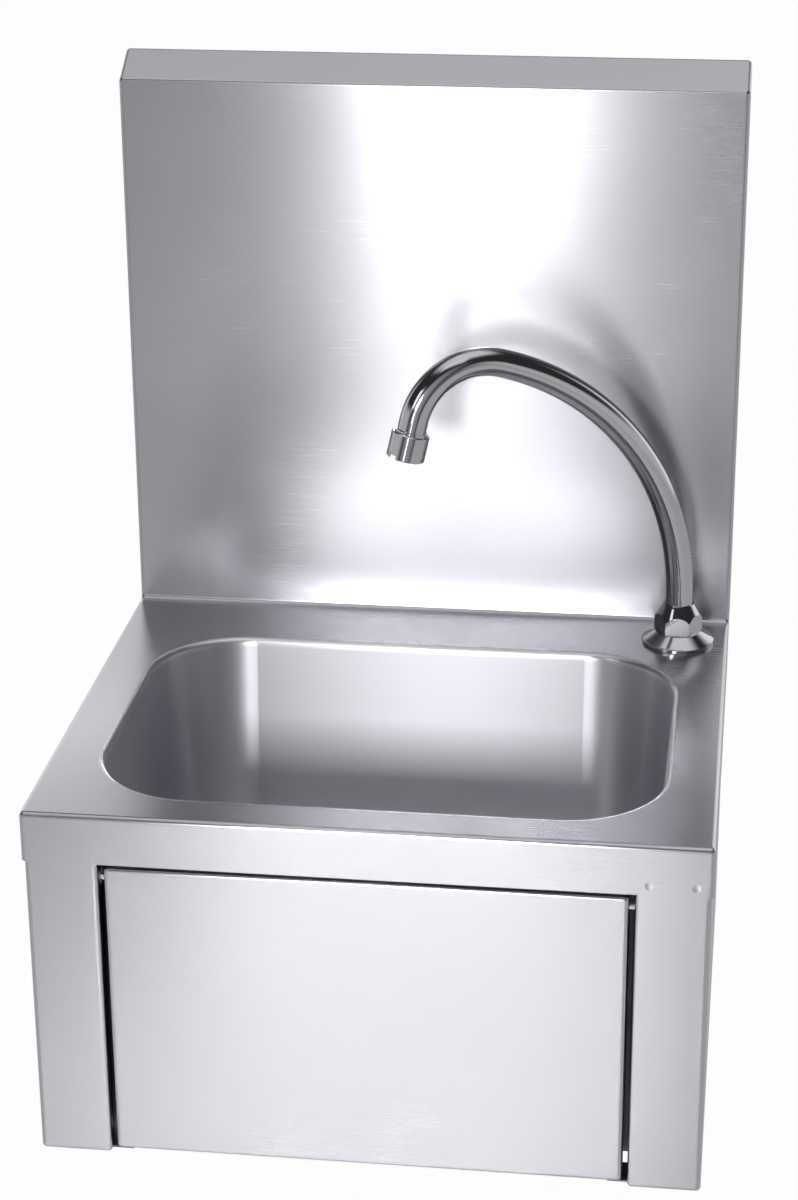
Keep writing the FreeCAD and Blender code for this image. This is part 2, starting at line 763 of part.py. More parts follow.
def valve_bonnet():
    """Threaded gland that guides the plunger and passes through the crossbar."""
    bore = plunger_r + running_clearance
    nose = sheet + bonnet_nose
    length = nose + bonnet_insert
    groove = bore + 2 * seal_wire_r + running_clearance
    middle = length / 2
    return turned([(bore, 0), (bonnet_r - 1, 0), (bonnet_r, 1), (bonnet_r, length), (bore, length),
                   (bore, middle + seal_wire_r + fit_gap), (groove, middle + seal_wire_r + fit_gap),
                   (groove, middle - seal_wire_r - fit_gap), (bore, middle - seal_wire_r - fit_gap)],
                  on_valve(-nose), Y)


def rod_seal():
    middle = (bonnet_insert - sheet - bonnet_nose) / 2
    return o_ring(plunger_r + running_clearance + seal_wire_r, seal_wire_r, on_valve(middle), Y)


def bonnet_locknut():
    return hex_nut(locknut_flats, bonnet_r, on_valve(-sheet), -Y, locknut_height)


def plunger_tip_y():
    return stiffener_back_y() + pad_thickness + touch_gap


def plunger_rod():
    """Rod from the push cap to the poppet behind the seat."""
    start = point(valve_x, plunger_tip_y() + cap_length - cap_bore_depth, valve_z)
    end_y = on_valve(chamber_depth + poppet_thickness).y
    return rod(plunger_r, start, Y, end_y - start.y)


def plunger_cap():
    """Domed push cap on the rod."""
    tip = point(valve_x, plunger_tip_y(), valve_z)
    dome = Part.makeSphere(cap_dome_r, tip + Y * cap_dome_r)
    cap = rod(cap_r, tip, Y, cap_length).common(dome.fuse(rod(cap_dome_r, tip + Y * cap_dome_r, Y,
                                                             cap_length)))
    socket = point(valve_x, plunger_tip_y() + cap_length - cap_bore_depth, valve_z)
    return cap.cut(rod(plunger_r, socket, Y, cap_bore_depth))


def valve_poppet():
    """Disc that closes the seat from behind."""
    return ring(poppet_r, plunger_r, on_valve(chamber_depth + fit_gap / 2), Y,
                poppet_thickness - fit_gap / 2)


def return_spring():
    """Compression spring between the poppet and the inlet cap."""
    start = chamber_depth + poppet_thickness + spring_wire_r + fit_gap
    height = chamber_end - spring_wire_r - fit_gap - start
    path = Part.makeHelix(height / spring_turns, height, spring_r)
    section = Part.Wire(Part.makeCircle(spring_wire_r, point(spring_r, 0, 0), Y))
    coil = Part.Wire(path.Edges).makePipeShell([section], True, True)
    return placed(coil, on_valve(start), Y)


def valve_inlet_cap():
    """Cap that closes the inlet chamber and takes the tube from the mixer."""
    collar_top = cap_insert + inlet_cap_collar
    end = collar_top + port_length
    cap = turned([(port_bore_r, 0), (inlet_chamber_r, 0), (inlet_chamber_r, cap_insert),
                  (valve_body_r + 1, cap_insert), (valve_body_r + 1, collar_top), (port_r, collar_top),
                  (port_r, end), (tube_r, end), (tube_r, collar_top), (port_bore_r, collar_top)],
                 on_valve(chamber_end), Y)
    return cap.common(hexagon(valve_flats, on_valve(chamber_end), Y, end))


# ---------------------------------------------------------------- mixer
def on_mixer(offset_x, offset_y, offset_z):
    return point(valve_x + offset_x, mixer_y + offset_y, valve_z + offset_z)


def mixer_body():
    """Brass body: two inlets below, spindle between them, outlet to the front, pad at the back."""
    half = mixer_length / 2
    body = rod(mixer_r, on_mixer(-half, 0, 0), X, mixer_length)
    pad_x, pad_z = mixer_pad
    low, high = on_mixer(-pad_x / 2, 0, -pad_z / 2), on_mixer(pad_x / 2, mixer_pad_depth, pad_z / 2)
    body = body.fuse(block(tuple(low), tuple(high)))
    body = body.fuse(rod(port_r, on_mixer(0, 0, 0), -Y, mixer_r + port_length))
    for offset in (-inlet_pitch / 2, inlet_pitch / 2):
        body = body.fuse(rod(mixer_r - 2, on_mixer(offset, 0, 0), -Z, mixer_r))
    body = body.fuse(rod(mixer_bore_r + 2, on_mixer(0, 0, 0), -Z, mixer_r))
    body = body.cut(rod(mixer_bore_r, on_mixer(-half + 4, 0, 0), X, mixer_length - 8))
    body = body.cut(rod(mixer_bore_r, on_mixer(0, 0, 0), -Z, mixer_r))
    body = body.cut(rod(port_bore_r, on_mixer(0, 0, 0), -Y, mixer_r + port_length))
    body = body.cut(rod(tube_r, on_mixer(0, -mixer_r, 0), -Y, port_length))
    for offset in (-inlet_pitch / 2, inlet_pitch / 2):
        body = body.cut(rod(union_insert_r, on_mixer(offset, 0, -mixer_r), Z, union_insert))
    for side in (-1, 1):
        body = body.cut(rod(screw_r, on_mixer(side * screw_offset, mixer_pad_depth, 0), -Y,
                            screw_length - bracket_sheet))
    return body


def at_inlets(build):
    """The same piece at the hot and the cold inlet."""
    sides = (-inlet_pitch / 2, inlet_pitch / 2)
    return Part.makeCompound([build(on_mixer(offset, 0, -mixer_r)) for offset in sides])


def inlet_union(base):
    """Union screwed up into the mixer, with a G 1/2 thread for a supply hose below."""
    collar = union_collar
    end = collar + inlet_thread
    bore = port_bore_r
    profile = [(check_valve_r, -union_insert), (union_insert_r, -union_insert), (union_insert_r, 0),
               (union_flats, 0), (union_flats, collar), (inlet_thread_r, collar),
               (inlet_thread_r, end - 0.8), (inlet_thread_r - 0.8, end), (bore, end),
               (bore, check_valve_length - union_insert), (check_valve_r,
                                                           check_valve_length - union_insert)]
    union = turned(profile, base, -Z)
    keep = hexagon(union_flats, base + Z * union_insert, -Z, union_insert + end)
    return union.common(keep)


def check_valve(base):
    """Sealed non-return cartridge in the union's upper bore."""
    top = base + Z * union_insert
    return ring(check_valve_r - running_clearance, 3.0, top, -Z, check_valve_length)


def inlet_filter(base):
    """Filter washer in the mouth of the union."""
    mouth = base - Z * (union_collar + inlet_thread)
    bore, rim = port_bore_r + 1, inlet_thread_r - 1
    mesh_top, mesh_low = -0.4 * filter_thickness, -0.6 * filter_thickness
    return turned([(0, mesh_top), (bore, mesh_top), (bore, 0), (rim, 0), (rim, -filter_thickness),
                   (bore, -filter_thickness), (bore, mesh_low), (0, mesh_low)], mouth, Z)


def gland_nut():
    return hex_nut(gland_flats, spindle_r + running_clearance, on_mixer(0, 0, -mixer_r), -Z,
                   gland_height)


def mixing_spindle():
    """Spindle whose disc shares the flow between hot and cold."""
    top = mixer_r - 2
    clear = mixer_bore_r - spindle_disc_r
    shaft_end = gland_height + knob_height / 2
    profile = [(0, -top + clear), (spindle_disc_r, -top + clear), (spindle_disc_r, -clear),
               (spindle_r, -clear), (spindle_r, shaft_end), (0, shaft_end)]
    return turned(profile, on_mixer(0, 0, -mixer_r), -Z)


def temperature_knob():
    """Ribbed plastic knob on the spindle, with a pointer groove facing the user."""
    base = on_mixer(0, 0, -mixer_r - gland_height - knob_gap)
    edge = 1.5
    knob = turned([(0, 0), (knob_r - edge, 0), (knob_r, edge), (knob_r - 1, knob_height - edge),
                   (knob_r - 1 - edge, knob_height), (0, knob_height)], base, -Z)
    grooves = []
    for index in range(knob_rib_count):
        angle = math.radians(360.0 * index / knob_rib_count)
        centre = base + point(knob_r * math.cos(angle) * 1.03, knob_r * math.sin(angle) * 1.03, 0)
        grooves.append(rod(1.2, centre + Z, -Z, knob_height + 2))
    knob = knob.cut(Part.makeCompound(grooves))
    low = base - Z * knob_height
    knob = knob.cut(rod(spindle_r, base, -Z, knob_height / 2 - knob_gap))
    knob = knob.cut(rod(knob_screw_r, base, -Z, knob_height))
    knob = knob.cut(rod(2 * knob_screw_r + fit_gap, low, Z, knob_sink))
    return knob.cut(block((low.x - 1, low.y - knob_r, low.z), (low.x + 1, low.y - knob_r / 2, low.z + 1)))


def knob_screw():
    """Slotted screw sunk in the knob's end, up to the spindle."""
    base = on_mixer(0, 0, -mixer_r - gland_height - knob_gap - knob_height)
    head_r, head_top = 2 * knob_screw_r, knob_sink
    tip = knob_height / 2 + knob_gap
    screw = turned([(0, 0.3), (head_r, 0.3), (head_r, head_top), (knob_screw_r, head_top),
                    (knob_screw_r, tip), (0, tip)], base)
    return screw.cut(block((base.x - head_r, base.y - 0.4, base.z),
                           (base.x + head_r, base.y + 0.4, base.z + 0.9)))


def mixer_bracket():
    """Folded bracket from the rear crossbar's lower lip to the mixer's pad."""
    x = valve_x - bracket_width / 2
    pad_y = mixer_y + mixer_pad_depth
    shelf_z = deck_z - crossbar_top_drop - rear_bar_height
    points = [point(x, pad_y, shelf_z - bracket_leg - bracket_sheet), point(x, pad_y, shelf_z),
              point(x, -sheet - 1, shelf_z)]
    bracket = folded_strip(points[::-1], X, bracket_width, bracket_sheet, bracket_sheet / 2)
    for side in (-1, 1):
        x = valve_x + side * screw_offset
        bracket = bracket.cut(rod(screw_r, point(x, pad_y - hole_overlap, valve_z), Y,
                                  bracket_sheet + 2 * hole_overlap))
        bracket = bracket.cut(rod(screw_r, point(x, bracket_screw_y(),
                                                 shelf_z - bracket_sheet - hole_overlap), Z,
                                  bracket_sheet + 2 * hole_overlap))
    return bracket


def bracket_screws():
    """Four pan-head screws: two into the mixer's pad, two into the crossbar's lip."""
    def screw(base, axis):
        return turned([(0, 0), (screw_head_r, 0), (screw_head_r - 0.6, screw_head),
                       (0, screw_head)], base, axis).fuse(rod(screw_r, base, -axis, screw_length))
    screws = []
    shelf_z = deck_z - crossbar_top_drop - rear_bar_height
    for side in (-1, 1):
        x = valve_x + side * screw_offset
        screws.append(screw(point(x, mixer_y + mixer_pad_depth + bracket_sheet, valve_z), Y))
        screws.append(screw(point(x, bracket_screw_y(), shelf_z - bracket_sheet), -Z))
    return Part.makeCompound(screws)


# ---------------------------------------------------------------- supply tubes and their fittings
mixer_port_y = mixer_y - mixer_r - port_length
inlet_port_y = valve_front_y + chamber_end + cap_insert + inlet_cap_collar + port_length
outlet_port_x = valve_x + valve_body_r + port_length
outlet_port_y = valve_front_y + outlet_depth
shank_end_z = deck_z - shank_drop


def mixer_tube():
    """Straight tube that brings mixed water to the valve."""
    start = point(valve_x, inlet_port_y - port_length, valve_z)
    end = point(valve_x, mixer_port_y + port_length, valve_z)
    length = end.y - start.y
    return ring(tube_r, tube_bore_r, start, Y, length)


def spout_supply_tube():
    """Bent tube from the valve's outlet round to the spout's shank."""
    start = point(outlet_port_x - port_length, outlet_port_y, valve_z)
    route = [start, point(spout_x, outlet_port_y, valve_z), point(spout_x, spout_y, valve_z),
             point(spout_x, spout_y, shank_end_z + port_length)]
    return bent_tube(route, (tube_bend, tube_bend), tube_r, tube_bore_r)


def fitting_seats():
    """Mouth and outward axis of the four compression fittings."""
    return ((point(valve_x, inlet_port_y, valve_z), Y),
            (point(valve_x, mixer_port_y, valve_z), -Y),
            (point(outlet_port_x, outlet_port_y, valve_z), X))


def compression_nuts():
    """Nuts over the threaded ports, each closing on its tube."""
    nuts = []
    for mouth, axis in fitting_seats():
        grip = port_length - 2
        base = mouth - axis * grip
        blank = hex_nut(nut_flats, tube_r, base, axis, nut_height)
        nuts.append(blank.cut(rod(port_r, base, axis, grip + olive_wall)))
    return Part.makeCompound(nuts)


def spout_tail_nut():
    """Union nut under the shank that holds the riser tube."""
    base = point(spout_x, spout_y, shank_end_z + port_length - 2)
    blank = hex_nut(union_flats, tube_r, base, -Z, nut_height + 2)
    return blank.cut(rod(shank_r, base, -Z, port_length - 2 + olive_wall))


# ---------------------------------------------------------------- spout
def on_spout(height):
    """Point on the spout's axis, height above the deck."""
    return point(spout_x, spout_y, deck_z + height)


def spout_route():
    """Corners of the spout's centre line, from the swivel sleeve to the outlet."""
    across = point(math.cos(math.radians(spout_heading)), math.sin(math.radians(spout_heading)), 0)
    long_reach = spout_long_bend * math.tan(math.radians(spout_long_turn / 2))
    short_reach = spout_short_bend * math.tan(math.radians(spout_short_turn / 2))

    def heading(turn):
        return across * math.sin(math.radians(turn)) + Z * math.cos(math.radians(turn))

    start = on_spout(shank_flange + gasket_thickness + 2)
    first = on_spout(spout_straight + long_reach)
    second = first + heading(spout_long_turn) * (long_reach + short_reach)
    down = heading(spout_long_turn + spout_short_turn)
    outlet = second + down * (short_reach + spout_tail)
    return [start, first, second, outlet], down


def spout_tube():
    """Swan neck: a long bend, a short bend and a straight tail into the aerator."""
    route, down = spout_route()
    route[-1] = route[-1] - down * (aerator_length / 2)
    return bent_tube(route, (spout_long_bend, spout_short_bend), spout_r, spout_bore_r)


def aerator_housing():
    """Chromed cap on the spout's end with two wrench notches."""
    route, down = spout_route()
    top = route[-1] - down * aerator_length
    inner = aerator_r - aerator_wall
    half = aerator_length / 2
    housing = turned([(spout_r, 0), (spout_r + 1.2, 0), (spout_r + 1.2, aerator_step),
                      (aerator_r - 0.6, aerator_step), (aerator_r, aerator_step + 0.6),
                      (aerator_r, aerator_length - 0.5), (aerator_r - 0.5, aerator_length),
                      (inner, aerator_length), (inner, half), (spout_r, half)], top, down)
    slot_width, slot_height = aerator_notch
    notch = Part.makeBox(4 * aerator_r, slot_width, slot_height + hole_overlap,
                         point(-2 * aerator_r, -slot_width / 2, aerator_length - slot_height))
    return housing.cut(placed(notch, top, down))


def aerator_insert():
    """Plastic jet insert with a ring of holes."""
    route, down = spout_route()
    base = route[-1] - down * (aerator_length / 2)
    insert = rod(aerator_r - aerator_wall, base, down, aerator_length / 2 - insert_recess)
    holes = [rod(1.0, point(0, 0, 0), Z, insert_length)]
    for count, radius in ((6, 3.2), (12, 6.4)):
        for index in range(count):
            angle = 2 * math.pi * index / count
            holes.append(rod(1.0, point(radius * math.cos(angle), radius * math.sin(angle), 0), Z,
                             insert_length))
    return insert.cut(placed(Part.makeCompound(holes), base, down))


def spout_shank():
    """Threaded shank through the deck, with the swivel socket on top."""
    flange_low = gasket_thickness
    flange_top = flange_low + shank_flange
    socket_r = sleeve_r + running_clearance
    tube_socket = -shank_drop + port_length
    profile = [(shank_bore_r, tube_socket), (tube_r, tube_socket), (tube_r, -shank_drop),
               (shank_r - 0.8, -shank_drop), (shank_r, -shank_drop + 0.8), (shank_r, flange_low),
               (shank_flange_r, flange_low), (shank_flange_r, flange_top), (swivel_r, flange_top),
               (swivel_r, swivel_top), (socket_r, swivel_top), (socket_r, flange_top + 1),
               (shank_bore_r, flange_top + 1)]
    return turned(profile, on_spout(0))


def swivel_sleeve():
    """Grooved sleeve brazed on the spout tube; it turns in the shank's socket."""
    low = shank_flange + gasket_thickness + 2
    profile = [(spout_r, 0), (sleeve_r, 0)]
    for groove in (oring_inset, sleeve_length - oring_inset):
        floor = sleeve_r - oring_depth
        profile += [(sleeve_r, groove - oring_wire_r - fit_gap), (floor, groove - oring_wire_r - fit_gap),
                    (floor, groove + oring_wire_r + fit_gap), (sleeve_r, groove + oring_wire_r + fit_gap)]
    profile += [(sleeve_r, sleeve_length), (spout_r, sleeve_length)]
    return turned(profile, on_spout(low))


def spout_orings():
    low = shank_flange + gasket_thickness + 2
    major = sleeve_r - oring_depth + oring_wire_r + fit_gap / 10
    rings = [o_ring(major, oring_wire_r, on_spout(low + groove), Z)
             for groove in (oring_inset, sleeve_length - oring_inset)]
    return Part.makeCompound(rings)


def retaining_ring():
    """Plastic ring under the cone nut that keeps the sleeve down."""
    return ring(swivel_r - fit_gap, spout_r + running_clearance, on_spout(swivel_top), Z,
                ring_thickness)


def escutcheon():
    """Chromed cone over the shank's flange."""
    inner_r = swivel_r + fit_gap
    crown_r = cone_nut_flats / 2 + 1.5
    wall = escutcheon_wall
    roof = escutcheon_height - wall
    profile = [(escutcheon_r - wall, 0), (escutcheon_r - 0.4, 0), (escutcheon_r, 0.4),
               (escutcheon_r, escutcheon_edge), (escutcheon_r - 1, escutcheon_edge + 0.5),
               (crown_r, escutcheon_height), (inner_r, escutcheon_height), (inner_r, roof),
               (crown_r - 0.4, roof), (escutcheon_r - wall, escutcheon_edge - 0.4)]
    return turned(profile, on_spout(0))


def cone_nut():
    """Hexagon nut with a conical top; holds the spout and lets it turn."""
    corner = cone_nut_flats / math.sqrt(3)
    seat = swivel_top + ring_thickness - escutcheon_height
    bore = spout_r + running_clearance
    thread_r = swivel_r
    outer = [(thread_r, 0), (corner - 1.2, 0), (corner, 0.8), (corner, cone_nut_hex),
             (cone_nut_top_r, cone_nut_height - 1), (cone_nut_top_r - 0.6, cone_nut_height)]
    inner = [(bore, cone_nut_height), (bore, seat), (thread_r, seat)]
    envelope = turned(outer + inner, on_spout(escutcheon_height))
    return envelope.common(hexagon(cone_nut_flats, on_spout(escutcheon_height), Z, cone_nut_height))


def deck_gasket():
    return ring(gasket_r, shank_r + fit_gap, on_spout(0), Z, gasket_thickness)


def under_deck_washer():
    return ring(deck_washer_r, shank_r + fit_gap, on_spout(-sheet), -Z, deck_washer)


def shank_locknut():
    return hex_nut(shank_nut_flats, shank_r, on_spout(-sheet - deck_washer), -Z, shank_nut_height)


# ---------------------------------------------------------------- drain and trap
def on_drain(height):
    """Point on the drain's axis at a given level."""
    return point(0, bowl_centre_y, height)


gasket_top_z = recess_z + drain_gasket
waste_top_z = recess_under_z - drain_gasket
waste_cup_low_z = waste_top_z - waste_cup_depth
waste_low_z = waste_cup_low_z - waste_tail_length
trap_top_z = waste_low_z - trap_neck
trap_low_z = trap_top_z - trap_head_height
trap_outlet_z = trap_low_z + trap_head_height / 2


def drain_strainer():
    """Dished grid on the bowl's drain recess."""
    spigot_r = drain_hole_r - 1
    depth = 6.0
    low = gasket_top_z - depth
    grid = turned([(0, depth), (strainer_flange_r - 0.5, depth), (strainer_flange_r, depth + 0.5),
                   (strainer_flange_r - 1, depth + strainer_sheet), (0, depth + strainer_sheet)],
                  on_drain(low))
    grid = grid.fuse(ring(spigot_r, spigot_r - strainer_sheet, on_drain(low), Z, depth))
    holes = []
    for index in range(strainer_slot_count):
        angle = 2 * math.pi * index / strainer_slot_count
        centre = on_drain(low) + point(strainer_slot_ring_r * math.cos(angle),
                                       strainer_slot_ring_r * math.sin(angle), 0)
        holes.append(rod(strainer_slot_r, centre, Z, 2 * depth))
    return grid.cut(Part.makeCompound(holes)).cut(rod(strainer_screw_r, on_drain(low), Z, 2 * depth))


def strainer_screw():
    """Slotted screw that pulls the strainer and the waste body together."""
    top = gasket_top_z + strainer_sheet
    length = top - (waste_cup_low_z - 2)
    screw = turned([(0, -length), (strainer_screw_r, -length), (strainer_screw_r, 0),
                    (strainer_screw_head_r, 0), (strainer_screw_head_r - 1, 2), (0, 2)],
                   on_drain(top))
    head_z = top + 2
    return screw.cut(block((-strainer_screw_head_r, bowl_centre_y - 0.6, head_z - 1),
                           (strainer_screw_head_r, bowl_centre_y + 0.6, head_z + 1)))


def drain_gaskets():
    """Rubber rings above and below the bowl's drain recess."""
    upper = ring(strainer_flange_r - 1, drain_hole_r, on_drain(recess_z), Z, drain_gasket)
    lower = ring(strainer_flange_r - 1, drain_hole_r, on_drain(waste_top_z), Z, drain_gasket)
    return Part.makeCompound([upper, lower])


def waste_body():
    """Brass waste under the bowl: flange, cup, threaded tail and a bridge for the screw."""
    cup_r = drain_hole_r + waste_wall
    tail_bore = waste_tail_r - waste_wall
    flange = waste_flange
    depth = waste_cup_depth
    low = depth + waste_tail_length
    body = turned([(drain_hole_r, 0), (strainer_flange_r, 0), (strainer_flange_r, -flange),
                   (cup_r, -flange), (cup_r, -depth + 4), (waste_tail_r, -depth), (waste_tail_r, -low),
                   (tail_bore, -low), (tail_bore, -depth), (drain_hole_r, -depth + 4)],
                  on_drain(waste_top_z))
    bridge_z = waste_cup_low_z - waste_web
    bridge = block((-tail_bore - 0.5, bowl_centre_y - waste_web / 2, bridge_z - waste_web),
                   (tail_bore + 0.5, bowl_centre_y + waste_web / 2, bridge_z + waste_web))
    boss = rod(2 * strainer_screw_r, on_drain(bridge_z - waste_web), Z, 2 * waste_web)
    body = body.fuse(bridge).fuse(boss)
    return body.cut(rod(strainer_screw_r, on_drain(waste_cup_low_z - 2), Z, waste_cup_depth))


def trap_nut(base, axis):
    """Ribbed plastic union nut over a G 1 1/4 thread, closing on a 32 mm neck."""
    lip = trap_nut_lip
    nut = turned([(waste_tail_r, 0), (trap_nut_r - 1, 0), (trap_nut_r, 1), (trap_nut_r,
                  trap_nut_height - 1), (trap_nut_r - 1, trap_nut_height),
                  (outlet_tube_r, trap_nut_height), (outlet_tube_r, trap_nut_height - lip),
                  (waste_tail_r, trap_nut_height - lip)], base, axis)
    grooves = []
    for index in range(trap_rib_count):
        angle = 2 * math.pi * index / trap_rib_count
        centre = point(trap_nut_r * 1.03 * math.cos(angle), trap_nut_r * 1.03 * math.sin(angle), -1)
        grooves.append(rod(1.3, centre, Z, trap_nut_height + 2))
    return nut.cut(placed(Part.makeCompound(grooves), base, axis))


def outlet_face_y():
    """Mouth of the trap's side outlet."""
    return bowl_centre_y + trap_head_r + trap_outlet_stub


def outlet_nut_end_y():
    """Outer end of the nut on the side outlet."""
    return outlet_face_y() + trap_nut_lip


def trap_nuts():
    grip = trap_nut_height - trap_nut_lip
    inlet = trap_nut(on_drain(waste_low_z + grip), -Z)
    outlet = trap_nut(point(0, outlet_face_y() - grip, trap_outlet_z), Y)
    return Part.makeCompound([inlet, outlet])


def trap_head():
    """Upper half of the bottle trap: inlet neck, dip tube, side outlet."""
    wall = trap_wall
    neck_r = outlet_tube_r
    height = trap_head_height
    dip_low = -height - trap_cup_depth * 0.6
    neck_top = trap_neck
    head = turned([(trap_dip_r, neck_top), (neck_r, neck_top), (neck_r, 0), (trap_head_r - 2, 0),
                   (trap_head_r, -2), (trap_head_r, -height), (trap_head_r - wall, -height),
                   (trap_head_r - wall, -wall - 2), (neck_r, -wall), (neck_r, dip_low),
                   (trap_dip_r, dip_low)], on_drain(trap_top_z))
    stub = trap_head_r + trap_outlet_stub
    axis_start = on_drain(trap_outlet_z)
    outer = rod(waste_tail_r - 6, axis_start, Y, stub)
    thread = trap_outlet_stub - trap_cup_lip - 1
    outer = outer.fuse(rod(waste_tail_r, axis_start + Y * (stub - thread), Y, thread))
    keep_out = rod(trap_head_r - wall, on_drain(trap_low_z - 1), Z, trap_head_height)
    head = head.fuse(outer.cut(keep_out))
    bore = rod(waste_tail_r - 6 - wall, axis_start + Y * (trap_dip_r + 4), Y, stub)
    head = head.cut(bore)
    return head.cut(rod(outlet_tube_r, axis_start + Y * (trap_head_r + 2), Y, trap_outlet_stub))


def trap_cup():
    """Lower half of the bottle trap, unscrewed for cleaning."""
    wall = trap_wall
    depth = trap_cup_depth
    grip = trap_grip_height
    radius = trap_head_r
    cup = turned([(0, -depth), (radius * 0.55, -depth), (radius - 4, -depth + 5), (radius - 2, -grip),
                  (radius + trap_cup_lip, -grip), (radius + trap_cup_lip, 0), (radius - wall, 0),
                  (radius - wall - 2, -grip), (radius - wall - 4, -depth + 6),
                  (radius * 0.5, -depth + wall), (0, -depth + wall)], on_drain(trap_low_z))
    grooves = []
    for index in range(trap_rib_count):
        angle = 2 * math.pi * index / trap_rib_count
        centre = on_drain(trap_low_z + 1) + point((radius + 2.4) * math.cos(angle),
                                                  (radius + 2.4) * math.sin(angle), 0)
        grooves.append(rod(1.5, centre, -Z, grip + 2))
    return cup.cut(Part.makeCompound(grooves))


def trap_outlet_tube():
    """32 mm tube from the trap to the wall; its end in the trap is turned down a little."""
    start_y = outlet_face_y() - tube_insert
    insert = outlet_nut_end_y() + 2 * fit_gap - start_y
    bore, insert_r = outlet_tube_r - trap_wall, outlet_tube_r - insert_relief
    return turned([(bore, 0), (insert_r, 0), (insert_r, insert), (outlet_tube_r, insert),
                   (outlet_tube_r, -start_y), (bore, -start_y)], point(0, start_y, trap_outlet_z), Y)


# ---------------------------------------------------------------- all nodes
def all_nodes():
    right = right_side()
    pin, bush, nut = hinge_pin(), hinge_bush(), hinge_nut()
    return {
        "deck_splashback": deck_and_splashback(),
        "basin_bowl": bowl(),
        "right_side_panel": right,
        "left_side_panel": mirrored(right),
        "rear_crossbar": rear_crossbar(),
        "valve_crossbar": valve_crossbar(),
        "wall_hook_rail": wall_hook_rail(),
        "splashback_hanger": splashback_hanger(),
        "stop_angle": stop_angle(),
        "stop_buffers": stop_buffers(),
        "knee_panel": knee_panel(),
        "panel_stiffener": panel_stiffener(),
        "push_pad": push_pad(),
        "right_hinge_pin": pin,
        "left_hinge_pin": mirrored(pin),
        "hinge_nuts": Part.makeCompound([nut, mirrored(nut)]),
        "hinge_bushes": Part.makeCompound([bush, mirrored(bush)]),
        "valve_body": valve_body(),
        "valve_bonnet": valve_bonnet(),
        "rod_seal": rod_seal(),
        "bonnet_locknut": bonnet_locknut(),
        "plunger_rod": plunger_rod(),
        "plunger_cap": plunger_cap(),
        "valve_poppet": valve_poppet(),
        "return_spring": return_spring(),
        "valve_inlet_cap": valve_inlet_cap(),
        "mixer_body": mixer_body(),
        "inlet_unions": at_inlets(inlet_union),
        "check_valves": at_inlets(check_valve),
        "inlet_filters": at_inlets(inlet_filter),
        "mixer_gland_nut": gland_nut(),
        "mixing_spindle": mixing_spindle(),
        "temperature_knob": temperature_knob(),
        "knob_screw": knob_screw(),
        "mixer_bracket": mixer_bracket(),
        "bracket_screws": bracket_screws(),
        "mixer_tube": mixer_tube(),
        "spout_supply_tube": spout_supply_tube(),
        "compression_nuts": compression_nuts(),
        "spout_tail_nut": spout_tail_nut(),
        "spout_shank": spout_shank(),
        "deck_gasket": deck_gasket(),
        "spout_escutcheon": escutcheon(),
        "under_deck_washer": under_deck_washer(),
        "shank_locknut": shank_locknut(),
        "cone_nut": cone_nut(),
        "retaining_ring": retaining_ring(),
        "spout_tube": spout_tube(),
        "swivel_sleeve": swivel_sleeve(),
        "spout_orings": spout_orings(),
        "aerator_housing": aerator_housing(),
        "aerator_insert": aerator_insert(),
        "drain_strainer": drain_strainer(),
        "strainer_screw": strainer_screw(),
        "drain_gaskets": drain_gaskets(),
        "waste_body": waste_body(),
        "trap_nuts": trap_nuts(),
        "trap_head": trap_head(),
        "trap_cup": trap_cup(),
        "trap_outlet_tube": trap_outlet_tube(),
    }


os.makedirs("parts", exist_ok=True)
for name, shape in all_nodes().items():
    shape.exportStep(os.path.join("parts", name + ".step"))
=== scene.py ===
import json
import math

import bpy
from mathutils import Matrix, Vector


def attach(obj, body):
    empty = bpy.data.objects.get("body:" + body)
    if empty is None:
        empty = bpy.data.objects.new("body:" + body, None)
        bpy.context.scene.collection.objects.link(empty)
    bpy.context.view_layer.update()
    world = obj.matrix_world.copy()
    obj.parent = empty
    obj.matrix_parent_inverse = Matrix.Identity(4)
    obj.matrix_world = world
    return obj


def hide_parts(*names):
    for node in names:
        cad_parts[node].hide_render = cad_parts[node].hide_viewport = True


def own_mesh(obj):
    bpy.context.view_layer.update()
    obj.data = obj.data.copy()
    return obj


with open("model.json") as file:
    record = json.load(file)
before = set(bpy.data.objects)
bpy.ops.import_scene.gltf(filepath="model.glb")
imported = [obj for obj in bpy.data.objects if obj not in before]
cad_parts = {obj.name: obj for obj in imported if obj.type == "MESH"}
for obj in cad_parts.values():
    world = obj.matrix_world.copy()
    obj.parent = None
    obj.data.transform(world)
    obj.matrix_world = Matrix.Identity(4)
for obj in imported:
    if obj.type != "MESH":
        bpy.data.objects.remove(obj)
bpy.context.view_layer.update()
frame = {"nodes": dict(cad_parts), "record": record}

nodes = frame["nodes"]

# Sizes of the real sink, in metres. The origin lies on the wall between the upper wall screws.
DECK_Z = -0.300
FRONT_Y = -0.360
SIDE_X = 0.200
POST_INSIDE_Y = -0.300    # the posts' returns lie in front of this
SIDE_EDGE = 0.003         # a side's sheet and its outer bend
FRONT_EDGE = 0.006        # the front's sheet and its outer bend
APRON = 0.040             # from the deck to below the apron
BOWL_CENTRE = (0.0, -0.211)
BOWL_HALF = (0.168, 0.120)
BOWL_CORNER = 0.060


